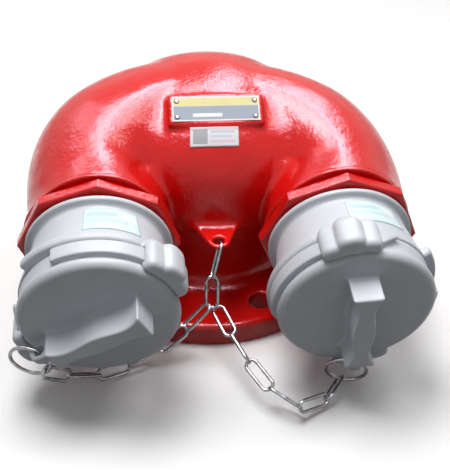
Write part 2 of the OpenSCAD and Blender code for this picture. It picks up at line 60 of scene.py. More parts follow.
def outlineDistance(corners, pitch=0.0005, margin=0.012):
    # distance to a closed flat outline, negative inside, put on a table once and read between its points
    corners = np.asarray(corners, float)
    low, high = corners.min(axis=0) - margin, corners.max(axis=0) + margin
    across = np.arange(low[0], high[0] + pitch, pitch)
    along = np.arange(low[1], high[1] + pitch, pitch)
    u, v = np.meshgrid(across, along, indexing="ij")
    nearest = np.full(u.shape, 1e9)
    inside = np.zeros(u.shape, bool)
    for start, end in zip(corners, np.roll(corners, -1, axis=0)):
        du, dv = end - start
        wu, wv = u - start[0], v - start[1]
        part = np.clip((wu * du + wv * dv) / max(du * du + dv * dv, 1e-18), 0, 1)
        nearest = np.minimum(nearest, (wu - part * du) ** 2 + (wv - part * dv) ** 2)
        crosses = (start[1] > v) != (end[1] > v)
        inside ^= crosses & (wu < wv * du / (dv if dv else 1e-18))
    table = np.where(inside, -1, 1) * np.sqrt(nearest)

    def read(p, q):
        # weighted mean of the four table points round each place, plus the way back to the table from outside
        gu = np.clip((p - low[0]) / pitch, 0, len(across) - 1.001)
        gv = np.clip((q - low[1]) / pitch, 0, len(along) - 1.001)
        i, j = gu.astype(int), gv.astype(int)
        fu, fv = gu - i, gv - j
        near = (table[i, j] * (1 - fu) + table[i + 1, j] * fu) * (1 - fv)
        near += (table[i, j + 1] * (1 - fu) + table[i + 1, j + 1] * fu) * fv
        return near + np.hypot(p - low[0] - gu * pitch, q - low[1] - gv * pitch)
    return read


def slopeOf(distance, points, reach=0.0002):
    # rate of change of a distance along X, Y and Z, from a small step each way
    slope = np.empty_like(points)
    for axis in range(3):
        step = np.zeros(3)
        step[axis] = reach
        slope[:, axis] = (distance(points + step) - distance(points - step)) / (2 * reach)
    return slope


def settle(distance, points, furthest):
    # moves each point down the slope of the distance until it lies on the surface
    slope = slopeOf(distance, points)
    move = (distance(points) / np.maximum((slope ** 2).sum(axis=1), 1e-6))[:, None] * slope
    size = np.linalg.norm(move, axis=1, keepdims=True)
    return points - move * np.minimum(1, furthest / np.maximum(size, 1e-12))


def netFrom(distance, low, high, pitch, rounds=6):
    # one point in each grid cell that the surface passes through, one face across each grid edge that it
    # crosses, then rounds of averaging with the neighbours and settling back onto the surface
    ticks = [np.arange(low[axis], high[axis] + pitch, pitch) for axis in range(3)]
    grid = np.stack(np.meshgrid(*ticks, indexing="ij"), axis=-1).reshape(-1, 3)
    inside = (distance(grid) < 0).reshape([len(tick) for tick in ticks])
    count = np.zeros([len(tick) - 1 for tick in ticks], int)
    for a in (slice(None, -1), slice(1, None)):
        for b in (slice(None, -1), slice(1, None)):
            for c in (slice(None, -1), slice(1, None)):
                count += inside[a, b, c]
    crossed = (count > 0) & (count < 8)
    number = np.full(crossed.shape, -1)
    number[crossed] = np.arange(crossed.sum())
    points = np.asarray(low) + (np.argwhere(crossed) + 0.5) * pitch
    faces = []
    for axis in range(3):
        order = (axis, (axis + 1) % 3, (axis + 2) % 3)
        solid = np.transpose(inside, order)
        cell = np.transpose(number, order)
        here, beyond = solid[:-1, 1:-1, 1:-1], solid[1:, 1:-1, 1:-1]
        i, j, k = np.nonzero(here != beyond)
        quads = np.stack([cell[i, j, k], cell[i, j + 1, k], cell[i, j + 1, k + 1], cell[i, j, k + 1]], axis=1)
        turned = beyond[i, j, k]
        quads[turned] = quads[turned][:, ::-1]
        faces.append(quads)
    faces = np.concatenate(faces)
    for turn in range(rounds):
        total = np.zeros_like(points)
        around = np.bincount(faces.ravel(), minlength=len(points)) * 2.0
        for here, there in ((0, 1), (1, 2), (2, 3), (3, 0), (1, 0), (2, 1), (3, 2), (0, 3)):
            for axis in range(3):
                total[:, axis] += np.bincount(faces[:, here], points[faces[:, there], axis], len(points))
        points = 0.5 * points + 0.5 * total / around[:, None]
        points = settle(distance, points, pitch)
    return points, faces


def addObject(name, data):
    item = bpy.data.objects.new(name, data)
    bpy.context.scene.collection.objects.link(item)
    return item


def meshPiece(name, points, faces, material, body, uv=None):
    # a mesh object at the origin, from arrays of points and of faces with one number of corners
    mesh = bpy.data.meshes.new(name)
    mesh.vertices.add(len(points))
    mesh.vertices.foreach_set("co", np.asarray(points, np.float32).ravel())
    mesh.loops.add(faces.size)
    mesh.loops.foreach_set("vertex_index", faces.astype(np.int32).ravel())
    mesh.polygons.add(len(faces))
    mesh.polygons.foreach_set("loop_start", np.arange(len(faces), dtype=np.int32) * faces.shape[1])
    mesh.polygons.foreach_set("use_smooth", np.ones(len(faces), bool))
    mesh.update(calc_edges=True)
    mesh.validate()
    if uv is not None:
        layer = mesh.uv_layers.new(name="UVMap")
        layer.data.foreach_set("uv", np.asarray(uv, np.float32)[faces.ravel()].ravel())
    piece = addObject(name, mesh)
    mesh.materials.append(material)
    if body:
        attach(piece, body)
    return piece


def gridFaces(rows, columns, closeRows=False, closeColumns=False):
    # numbers of the four corners of every cell of a grid of points, joined round where it closes
    row = np.arange(rows if closeRows else rows - 1)[:, None]
    column = np.arange(columns if closeColumns else columns - 1)[None, :]
    nextRow, nextColumn = (row + 1) % rows, (column + 1) % columns
    corners = [row * columns + column, nextRow * columns + column,
               nextRow * columns + nextColumn, row * columns + nextColumn]
    return np.stack([corner.ravel() for corner in corners], axis=1)


def turnX(points, angle):
    c, s = math.cos(angle), math.sin(angle)
    x, y, z = points[..., 0], points[..., 1], points[..., 2]
    return np.stack([x, y * c - z * s, y * s + z * c], axis=-1)


def turnZ(points, angle):
    c, s = math.cos(angle), math.sin(angle)
    x, y, z = points[..., 0], points[..., 1], points[..., 2]
    return np.stack([x * c - y * s, x * s + y * c, z], axis=-1)


# Where the inlets are, and how the branches reach them

inlet = {
    "offset": 0.082,
    "reach": 0.098,
    "height": 0.086,
    "tilt": math.radians(8),
    "splay": math.radians(1.5),
    "bend": 0.070,
    "skin": {"root": 0.063, "end": 0.0512, "brow": 0.0048, "waist": 0.017, "tuck": 0.003,
             "trim": 0.0025, "least": 0.0465},
    "bore": {"root": 0.043, "end": 0.043, "brow": 0.0, "waist": 0.0, "tuck": 0.0,
             "trim": 0.0, "least": 0.043},
    # shares of a branch's length between which each change of its radius comes and goes
    "fall": (0.42, 0.87), "browIn": (0.45, 0.95), "waistIn": (0.02, 0.25), "waistOut": (0.7, 0.98),
    "tuckIn": (0.5, 0.85), "tuckOut": (0.9, 1.0),
    "browPower": 6, "waistPower": 1.2, "pastEnd": 0.03,
}
centreHeight = inlet["height"] + inlet["reach"] * math.tan(inlet["tilt"])
planeReach = inlet["reach"] / math.cos(inlet["tilt"])
bendAngle = math.pi / 2 - inlet["splay"]
runOut = (planeReach - inlet["bend"] * (1 - math.cos(bendAngle))) / math.sin(bendAngle)
runIn = inlet["offset"] - inlet["bend"] * math.sin(bendAngle) - runOut * math.cos(bendAngle)
branchLength = runIn + inlet["bend"] * bendAngle + runOut


def fromInlet(side, points):
    # inlet frame, right, up and out along its axis, to the shared frame
    turned = turnX(turnZ(turnX(points, math.pi / 2), side * inlet["splay"]), inlet["tilt"])
    mouth = turnX(np.array([side * inlet["offset"], -planeReach, 0.0]), inlet["tilt"])
    return turned + mouth + [0, 0, centreHeight]


def toInlet(side, points):
    mouth = turnX(np.array([side * inlet["offset"], -planeReach, 0.0]), inlet["tilt"])
    moved = points - mouth - [0, 0, centreHeight]
    return turnX(turnZ(turnX(moved, -inlet["tilt"]), -side * inlet["splay"]), -math.pi / 2)


def smoothRise(value, low, high):
    # 0 below low, 1 above high, and an even S between them
    t = np.clip((value - low) / (high - low), 0, 1)
    return t * t * (3 - 2 * t)


def branchDistance(side, points, shape):
    # distance to the bent centre line of a branch, less its radius there. The radius falls in an S from the
    # root to the end, is taken in on the inner side of the bend and rises to a brow on top of the end. With
    # it goes how far the way from the centre line turns off the way from the dome's centre: 0 for the same,
    # 2 for opposite
    flat = turnX(points - [0, 0, centreHeight], -inlet["tilt"])
    u, v, w = side * flat[:, 0], -flat[:, 1], flat[:, 2]
    first = np.clip(u, 0, runIn)
    turn = np.clip(np.arctan2(u - runIn, inlet["bend"] - v), 0, bendAngle)
    endU = runIn + inlet["bend"] * math.sin(bendAngle)
    endV = inlet["bend"] * (1 - math.cos(bendAngle))
    last = (u - endU) * math.cos(bendAngle) + (v - endV) * math.sin(bendAngle)
    last = np.clip(last, 0, runOut + inlet["pastEnd"])
    places = [
        (first, 0 * u, first),
        (runIn + inlet["bend"] * np.sin(turn), inlet["bend"] * (1 - np.cos(turn)),
         runIn + inlet["bend"] * turn),
        (endU + last * math.cos(bendAngle), endV + last * math.sin(bendAngle), branchLength - runOut + last),
    ]
    nearest = np.full(len(points), 1e9)
    share, along, inward = np.zeros(len(points)), np.zeros(len(points)), np.zeros(len(points))
    for placeU, placeV, length in places:
        away = (u - placeU) ** 2 + (v - placeV) ** 2
        closer = away < nearest
        nearest = np.where(closer, away, nearest)
        along = np.where(closer, u * (u - placeU) + v * (v - placeV) + w * w, along)
        share = np.where(closer, np.clip(length / branchLength, 0, 1), share)
        toBend = (u - placeU) * (runIn - placeU) + (v - placeV) * (inlet["bend"] - placeV)
        inward = np.where(closer, toBend / inlet["bend"], inward)
    away = np.sqrt(nearest + w * w)
    spread = 1 - along / np.maximum(away * np.sqrt(u * u + v * v + w * w), 1e-9)
    root = shape["root"] - shape["trim"] * (side > 0)
    radius = shape["end"] + (root - shape["end"]) * (1 - smoothRise(share, *inlet["fall"]))
    above = np.clip(w / np.maximum(away, 1e-9), 0, 1)
    inner = np.clip(inward / np.maximum(away, 1e-9), -1, 1)
    radius = radius + shape["brow"] * above ** inlet["browPower"] * smoothRise(share, *inlet["browIn"])
    waist = shape["waist"] * np.maximum(inner, 0) ** inlet["waistPower"]
    waist = waist * smoothRise(share, *inlet["waistIn"]) * (1 - smoothRise(share, *inlet["waistOut"]))
    radius = np.maximum(radius - waist, shape["least"])
    tuck = shape["tuck"] * (side < 0)
    tuck = tuck * smoothRise(share, *inlet["tuckIn"]) * (1 - smoothRise(share, *inlet["tuckOut"]))
    return away - radius + tuck * np.maximum(-inner, 0), spread


casting = {
    "flangeRadius": 0.110, "flangeHeight": 0.018, "flangeEdge": 0.0035, "flangeChamfer": 0.001,
    "flangeCove": 0.014, "boltCircle": 0.090, "boltRadius": 0.009, "boltPast": 0.01, "bolts": 8,
    "trunkRadius": 0.065, "trunkFoot": 0.001, "trunkTop": 0.027,
    "domeRadius": 0.076, "domeRise": 0.066, "domeFullness": 0.08, "domeBlend": 0.008,
    "backBlend": 0.022, "backFrom": 0.01, "backTo": 0.06, "spreadFull": 0.45, "spreadLeast": 0.04,
    "waterwayRadius": 0.050, "chamberRadius": 0.056,
    "collarCorner": 0.055, "collarThickness": 0.008, "collarEdge": 0.0012, "collarPitch": 0.0007,
    "collarLow": (-0.058, -0.058, -0.016), "collarHigh": (0.058, 0.058, 0.003),
    "browFace": 0.0092, "browDepth": 0.0045, "browGap": 0.0015, "browLift": 0.0003, "browSlope": 0.16,
    "browEdge": 0.0014, "neckRadius": 0.0488, "neckMiddle": 0.0085, "neckHalf": 0.002, "neckBlend": 0.0008,
    "threadRadius": 0.0375, "threadDepth": 0.022,
    "seatRadius": 0.031, "seatBack": -0.030, "seatMiddle": 0.004, "seatHalf": 0.006,
    "earTop": 0.082, "earThickness": 0.0036, "earReach": 0.091, "earHole": 0.004, "earRim": 0.0036,
    "earRoot": 0.021, "earSink": 0.004, "earDepth": 0.02, "earEdge": 0.0016, "earBlend": 0.007,
    "earDrill": 0.008,
    "padWidth": 0.065, "padHeight": 0.023, "padDepth": 0.006, "padLean": math.radians(34), "padY": -0.041,
    "padLift": 0.0012, "padEdge": 0.0012, "padBlend": 0.004,
    "pitch": 0.00198, "low": (-0.148, -0.118, -0.004), "high": (0.148, 0.1125, 0.1705),
}
hingeLug = {
    "across": 0.0103, "rise": 0.0375, "back": 0.0373, "radius": 0.0042, "half": 0.0025, "reach": 0.046,
}
padRise = (centreHeight + casting["domeRise"] * math.sqrt(1 - (casting["padY"] / casting["domeRadius"]) ** 2)
           + casting["padLift"])


def domeOutline():
    # half section of the trunk and dome: a straight trunk that swells into an ellipse
    c = casting
    rise = np.linspace(0, 1, 9)
    swell = (1 - np.cos(math.pi * rise)) / 2
    lower = np.stack([c["trunkRadius"] + (c["domeRadius"] - c["trunkRadius"]) * swell,
                      c["trunkTop"] + (centreHeight - c["trunkTop"]) * rise], axis=1)
    angle = np.radians(np.arange(3, 91, 3))
    upper = np.stack([c["domeRadius"] * np.cos(angle), centreHeight + c["domeRise"] * np.sin(angle)], axis=1)
    right = np.concatenate([[[c["trunkRadius"], c["trunkFoot"]]], lower, upper])
    return np.concatenate([right, right[::-1] * [-1, 1]])


def flangeOutline():
    # half section of the flange with its edges rounded, mirrored so that the axis is no edge
    c = casting
    angle = np.radians(np.arange(0, 91, 15))
    r, h, e = c["flangeRadius"], c["flangeHeight"], c["flangeEdge"]
    right = np.concatenate([[[r - c["flangeChamfer"], 0], [r, c["flangeChamfer"]]],
                            np.stack([r - e + e * np.cos(angle), h - e + e * np.sin(angle)], axis=1)])
    return np.concatenate([right, right[::-1] * [-1, 1]])


def earOutline():
    # round tip, and straight sides that touch it and spread to the trunk
    c = casting
    tip = c["earHole"] + c["earRim"]
    root = np.array([c["earRoot"], -c["trunkRadius"] + c["earSink"]])
    inner = root + [0, c["earDepth"]]
    toRoot = root + [0, c["earReach"]]
    touch = math.atan2(toRoot[1], toRoot[0]) - math.acos(tip / np.hypot(*toRoot))
    angle = np.linspace(touch, -math.pi - touch, 21)
    tipArc = np.stack([tip * np.cos(angle), tip * np.sin(angle) - c["earReach"]], axis=1)
    return np.concatenate([[inner, root], tipArc, [root * [-1, 1], inner * [-1, 1]]])


domeAt = outlineDistance(domeOutline())
flangeAt = outlineDistance(flangeOutline())
earAt = outlineDistance(earOutline())


def padFrame(points):
    return turnX(points - [0, casting["padY"], padRise], -casting["padLean"])


def boxDistance(points, centre, half, rounding):
    # distance to a box with rounded edges
    away = np.abs(points - centre) - (np.asarray(half) - rounding)
    return np.linalg.norm(np.maximum(away, 0), axis=1) + np.minimum(away.max(axis=1), 0) - rounding


def castingSkin(points):
    # outside of the casting: the trunk and dome, fuller towards its four corners, the branches, the flange,
    # the ear and the pad. The dome and a branch blend the more, the more their surfaces turn off each other,
    # so that they don't swell where they lie together
    c = casting
    radial = np.hypot(points[:, 0], points[:, 1])
    rise = np.clip((points[:, 2] - centreHeight) / c["domeRise"], 0, 1)
    corner = (2 * points[:, 0] * points[:, 1] / np.maximum(radial, 1e-6) ** 2) ** 2
    skin = domeAt(radial * (1 - c["domeFullness"] * corner * 4 * rise * (1 - rise)), points[:, 2])
    for side in (-1, 1):
        branch, spread = branchDistance(side, points, inlet["skin"])
        branch = np.maximum(branch, toInlet(side, points)[:, 2] + c["browFace"] + c["browGap"])
        back = smoothRise(points[:, 1], c["backFrom"], c["backTo"])
        blend = c["domeBlend"] + (c["backBlend"] - c["domeBlend"]) * back
        skin = softUnion(skin, branch, blend * np.clip(spread / c["spreadFull"], c["spreadLeast"], 1))
    skin = softUnion(skin, flangeAt(radial, points[:, 2]), c["flangeCove"])
    slab = np.abs(points[:, 2] - c["earTop"] + c["earThickness"] / 2) - c["earThickness"] / 2
    ear = softMeet(earAt(points[:, 0], points[:, 1]), slab, c["earEdge"])
    skin = softUnion(skin, ear, c["earBlend"])
    pad = boxDistance(padFrame(points), [0.0, 0, -c["padDepth"]],
                      [c["padWidth"] / 2, c["padHeight"] / 2, c["padDepth"]], c["padEdge"])
    return np.maximum(softUnion(skin, pad, c["padBlend"]), -points[:, 2])


def castingDistance(points):
    # the outside, less the waterway, chamber, passages, threads, seats, bolt holes and the ear's hole, with
    # the clappers' hinge lugs left standing
    c, h = casting, hingeLug
    radial = np.hypot(points[:, 0], points[:, 1])
    hollow = np.maximum(radial - c["waterwayRadius"], points[:, 2] - centreHeight)
    hollow = np.minimum(hollow, np.linalg.norm(points - [0, 0, centreHeight], axis=1) - c["chamberRadius"])
    lugs = np.full(len(points), 1e9)
    for side in (-1, 1):
        local = toInlet(side, points)
        away, out = np.hypot(local[:, 0], local[:, 1]), local[:, 2]
        passage = branchDistance(side, points, inlet["bore"])[0]
        hollow = np.minimum(hollow, np.maximum(passage, out - c["seatBack"]))
        hollow = np.minimum(hollow, np.maximum(away - c["threadRadius"], -c["threadDepth"] - out))
        seat = np.abs(out - c["seatBack"] - c["seatMiddle"]) - c["seatHalf"]
        hollow = np.minimum(hollow, np.maximum(away - c["seatRadius"], seat))
        knuckle = np.hypot(local[:, 1] - h["rise"], out + h["back"]) - h["radius"]
        stem = np.maximum(np.abs(out + h["back"]) - h["radius"], h["rise"] - local[:, 1])
        lug = np.maximum(np.minimum(knuckle, stem), np.abs(np.abs(local[:, 0]) - h["across"]) - h["half"])
        lugs = np.minimum(lugs, np.maximum(lug, away - h["reach"]))
    hollow = np.maximum(hollow, -lugs)
    turn = np.mod(np.arctan2(points[:, 1], points[:, 0]), 2 * math.pi / c["bolts"]) - math.pi / c["bolts"]
    bolt = np.hypot(radial * np.cos(turn) - c["boltCircle"], radial * np.sin(turn)) - c["boltRadius"]
    bolt = np.maximum(bolt, points[:, 2] - c["flangeHeight"] - c["boltPast"])
    earHole = np.hypot(points[:, 0], points[:, 1] + c["earReach"]) - c["earHole"]
    earHole = np.maximum(earHole, np.abs(points[:, 2] - c["earTop"]) - c["earDrill"])
    return np.maximum(np.maximum(castingSkin(points), -hollow), np.maximum(-bolt, -earHole))


def emptyTree(owner):
    owner.use_nodes = True
    owner.node_tree.nodes.clear()
    return owner.node_tree


def addNode(tree, kind, inputs=None, **settings):
    # a node with its settings, and each input set to a value or joined to another node's output
    node = tree.nodes.new("ShaderNode" + kind)
    for name, value in settings.items():
        setattr(node, name, value)
    for name, value in (inputs or {}).items():
        if isinstance(value, bpy.types.NodeSocket):
            tree.links.new(value, node.inputs[name])
        else:
            node.inputs[name].default_value = value
    return node


def calculate(tree, operation, *values):
    return addNode(tree, "Math", dict(enumerate(values)), operation=operation).outputs[0]


def rescale(tree, value, fromLow, fromHigh, toLow, toHigh):
    # a value moved evenly from one range to another, and held at the ends
    ends = {1: fromLow, 2: fromHigh, 3: toLow, 4: toHigh}
    return addNode(tree, "MapRange", {"Value": value, **ends}).outputs[0]


def mixColour(tree, share, below, above):
    # the colour below where the share is 0, and the one above where it is 1
    return addNode(tree, "Mix", {0: share, 6: below, 7: above}, data_type="RGBA").outputs[2]


def noise(tree, vector, scale, detail, roughness=0.5):
    inputs = {"Vector": vector, "Scale": scale, "Detail": detail, "Roughness": roughness}
    return addNode(tree, "TexNoise", inputs).outputs["Fac"]


def newGroup(name, inputs, outputs):
    group = bpy.data.node_groups.new(name, "ShaderNodeTree")
    for label, kind, value in inputs:
        socket = group.interface.new_socket(name=label, in_out="INPUT", socket_type="NodeSocket" + kind)
        if value is not None:
            socket.default_value = value
    for label, kind in outputs:
        group.interface.new_socket(name=label, in_out="OUTPUT", socket_type="NodeSocket" + kind)
    given = group.nodes.new("NodeGroupInput").outputs
    return group, given, group.nodes.new("NodeGroupOutput")


def castGrainGroup():
    # height of a cast surface: wide waves from the sand, small dimples of the paint, and a fine tooth
    group, given, out = newGroup("castGrain", [
        ("Vector", "Vector", None), ("Wave Size", "Float", 60.0), ("Dimple Size", "Float", 260.0),
        ("Dimple Share", "Float", 0.5), ("Tooth Share", "Float", 0.1)],
        [("Height", "Float"), ("Tone", "Float")])
    wave = noise(group, given["Vector"], given["Wave Size"], 2.0, 0.45)
    dimple = noise(group, given["Vector"], given["Dimple Size"], 2.0)
    tooth = noise(group, given["Vector"], 1400.0, 2.0)
    first = calculate(group, "MULTIPLY_ADD", dimple, given["Dimple Share"], wave)
    both = calculate(group, "MULTIPLY_ADD", tooth, given["Tooth Share"], first)
    group.links.new(both, out.inputs["Height"])
    group.links.new(wave, out.inputs["Tone"])
    return group


def toneGroup():
    # a colour that drifts a little darker and lighter, with dust that gathers in soft patches
    group, given, out = newGroup("toneDrift", [
        ("Vector", "Vector", None), ("Color", "Color", (0.5, 0.5, 0.5, 1)),
        ("Dark Color", "Color", (0.2, 0.2, 0.2, 1)), ("Patch Size", "Float", 25.0),
        ("Amount", "Float", 0.3), ("Smooth", "Float", 0.3), ("Rough", "Float", 0.5)],
        [("Color", "Color"), ("Roughness", "Float")])
    patch = noise(group, given["Vector"], given["Patch Size"], 4.0, 0.6)
    share = rescale(group, patch, 0.35, 0.7, 0.0, 1.0)
    mixBy = calculate(group, "MULTIPLY", share, given["Amount"])
    mix = mixColour(group, mixBy, given["Color"], given["Dark Color"])
    rough = rescale(group, share, 0.0, 1.0, given["Smooth"], given["Rough"])
    group.links.new(mix, out.inputs["Color"])
    group.links.new(rough, out.inputs["Roughness"])
    return group


castGrain = castGrainGroup()
toneDrift = toneGroup()


def finish(name, look):
    # a principled finish: drifting tone and roughness, and the cast grain as a bump
    material = bpy.data.materials.new(name)
    tree = emptyTree(material)
    out = tree.nodes.new("ShaderNodeOutputMaterial")
    shader = addNode(tree, "BsdfPrincipled", {
        "Metallic": look.get("metallic", 0.0), "IOR": 1.5, "Specular IOR Level": look.get("specular", 0.5)})
    place = tree.nodes.new("ShaderNodeTexCoord").outputs["Object"]
    tone = addNode(tree, "Group", {
        "Vector": place, "Color": (*look["colour"], 1), "Dark Color": (*look["dark"], 1),
        "Patch Size": look["patch"], "Amount": look["drift"],
        "Smooth": look["smooth"], "Rough": look["rough"],
    }, node_tree=toneDrift)
    grain = addNode(tree, "Group", {
        "Vector": place, "Wave Size": look["wave"], "Dimple Size": look["dimple"],
        "Dimple Share": look.get("dimpleShare", 0.5), "Tooth Share": look.get("toothShare", 0.1),
    }, node_tree=castGrain)
    bump = addNode(tree, "Bump", {
        "Height": grain.outputs["Height"], "Strength": look["bump"], "Distance": look["depth"]})
    tree.links.new(tone.outputs["Color"], shader.inputs["Base Color"])
    tree.links.new(tone.outputs["Roughness"], shader.inputs["Roughness"])
    tree.links.new(bump.outputs[0], shader.inputs["Normal"])
    tree.links.new(shader.outputs[0], out.inputs[0])
    return material, tree, shader, tone, place


redPaint = finish("redPaint", {
    "colour": (0.66, 0.006, 0.004), "dark": (0.54, 0.004, 0.003), "drift": 0.5, "patch": 30.0,
    "smooth": 0.13, "rough": 0.22, "specular": 0.36, "wave": 70.0, "dimple": 480.0,
    "dimpleShare": 0.34, "toothShare": 0.09, "bump": 0.75, "depth": 0.0011})[0]
paleAlloy = finish("paleAlloy", {
    "colour": (0.59, 0.615, 0.65), "dark": (0.52, 0.545, 0.575), "drift": 0.5, "patch": 40.0,
    "smooth": 0.34, "rough": 0.50, "specular": 0.16, "wave": 160.0, "dimple": 700.0,
    "toothShare": 0.25, "bump": 0.35, "depth": 0.0003})[0]
zincWire = finish("zincWire", {
    "colour": (0.34, 0.34, 0.35), "dark": (0.13, 0.125, 0.12), "drift": 0.8, "patch": 160.0,
    "smooth": 0.16, "rough": 0.38, "metallic": 1.0, "wave": 500.0, "dimple": 1500.0,
    "toothShare": 0.3, "bump": 0.3, "depth": 0.0002})[0]
rivetSteel = finish("rivetSteel", {
    "colour": (0.20, 0.19, 0.18), "dark": (0.10, 0.09, 0.08), "drift": 0.6, "patch": 200.0,
    "smooth": 0.35, "rough": 0.6, "metallic": 0.8, "wave": 500.0, "dimple": 1500.0,
    "bump": 0.3, "depth": 0.0002})[0]
bronzeCast = finish("bronzeCast", {
    "colour": (0.52, 0.33, 0.13), "dark": (0.30, 0.18, 0.07), "drift": 0.6, "patch": 60.0,
    "smooth": 0.35, "rough": 0.55, "metallic": 0.9, "wave": 120.0, "dimple": 600.0,
    "bump": 0.35, "depth": 0.0004})[0]
blackRubber = finish("blackRubber", {
    "colour": (0.018, 0.018, 0.019), "dark": (0.045, 0.043, 0.042), "drift": 0.5, "patch": 60.0,
    "smooth": 0.6, "rough": 0.8, "wave": 200.0, "dimple": 900.0, "bump": 0.3, "depth": 0.0002})[0]
print("finishes made")

castPoints, castFaces = netFrom(castingDistance, casting["low"], casting["high"], casting["pitch"])
castPiece = meshPiece("castBody", castPoints, castFaces, redPaint, "root")
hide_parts("body")
print("casting:", len(castFaces), "faces")


def collarDistance(points):
    # an eight-sided plate with a corner at the top, its edges a little rounded, a neck behind it, the brow
    # behind the neck, and a bore, in the inlet's frame
    c = casting
    away = np.hypot(points[:, 0], points[:, 1])
    angle = np.mod(np.arctan2(points[:, 1], points[:, 0]), math.pi / 4) - math.pi / 8
    flat = away * np.cos(angle) - c["collarCorner"] * math.cos(math.pi / 8)
    slab = np.abs(points[:, 2] + c["collarThickness"] / 2) - c["collarThickness"] / 2
    plate = softMeet(flat, slab, c["collarEdge"])
    above = np.clip(points[:, 1] / np.maximum(away, 1e-9), 0, 1)
    back = -c["browFace"] - points[:, 2]
    brow = away - inlet["skin"]["end"] - inlet["skin"]["brow"] * above ** inlet["browPower"]
    brow = brow - c["browLift"] + c["browSlope"] * back
    brow = softMeet(brow, np.abs(back - c["browDepth"] / 2) - c["browDepth"] / 2, c["browEdge"])
    neck = np.maximum(away - c["neckRadius"], np.abs(points[:, 2] + c["neckMiddle"]) - c["neckHalf"])
    return np.maximum(softUnion(np.minimum(plate, brow), neck, c["neckBlend"]), c["threadRadius"] - away)


collarPoints, collarFaces = netFrom(collarDistance, casting["collarLow"], casting["collarHigh"],
                                    casting["collarPitch"], 4)
sides = {-1: "left", 1: "right"}
for side, word in sides.items():
    collar = meshPiece(word + "Collar", fromInlet(side, collarPoints), collarFaces, redPaint, "root")
print("collars:", len(collarFaces), "faces each")


coupling = {
    "length": 0.046, "bore": 0.0325, "shankRadius": 0.0374, "shank": 0.020, "shankChamfer": 0.001,
    "gasket": 0.0015, "rim": 0.0495, "rimEdge": 0.0008, "rimWidth": 0.0030, "rimBevel": (0.0006, 0.0037),
    "rootRadius": 0.0446, "frontRadius": 0.052, "coneStart": 0.0070,
    "cove": ((0.0018, 0.0043), (0.0005, 0.0053)),
    "clawMiddle": 0.0096, "clawSide": 0.008, "clawPitch": math.radians(12), "ringRadius": 0.0555,
    "middleOut": 0.0006, "sideIn": 0.002, "lobeBlend": 0.001, "clawBack": 0.037, "clawBevel": 0.010,
    "clawFront": 0.0635, "clawNose": 0.005, "clawFillet": 0.0015,
    "hookBack": 0.0573, "hookRadius": 0.053, "hookGap": 0.0005, "clawClear": 0.0558, "coreRadius": 0.044,
    "pathEdge": 0.0012,
    "lugDepth": 0.008, "lugStart": math.radians(68), "lugArc": math.radians(92), "lugSwell": 0.0014,
    "swellArc": math.radians(66), "lugMean": 0.05, "lugThin": 0.0003, "lugEdge": 0.003, "lugRoot": 0.046,
    "lugFillet": 0.002,
    "sealRadius": 0.040, "sealDepth": 0.005, "table": 0.00035,
    "pitch": 0.001, "low": (-0.060, -0.069, -0.022), "high": (0.060, 0.069, 0.066),
    "turn": {-1: math.radians(51), 1: math.radians(-11)},
}


def barrelOutline():
    # half section of the barrel: shank, rounded rim, cove and cone, with the bore and the seal's recess
    c = coupling
    g = c["gasket"]
    bevelIn, bevelOut = c["rimBevel"]
    cove = [[c["rootRadius"] + over, g + out] for over, out in c["cove"]]
    seat = c["length"] - c["sealDepth"]
    return [[c["bore"], -c["shank"]], [c["shankRadius"] - c["shankChamfer"], -c["shank"]],
            [c["shankRadius"], c["shankChamfer"] - c["shank"]], [c["shankRadius"], g],
            [c["rim"] - c["rimEdge"], g], [c["rim"], g + c["rimEdge"]], [c["rim"], g + c["rimWidth"]],
            [c["rim"] - bevelIn, g + bevelOut], *cove, [c["rootRadius"], g + c["coneStart"]],
            [c["frontRadius"], c["length"]], [c["sealRadius"], c["length"]],
            [c["sealRadius"], seat], [c["bore"], seat]]


barrelAt = outlineDistance(barrelOutline(), coupling["table"])


def squareRound(a, b, power=2.8):
    # radius of a circle whose quarters are a little squared: the root of the sum of both powers
    return (np.abs(a) ** power + np.abs(b) ** power) ** (1 / power)


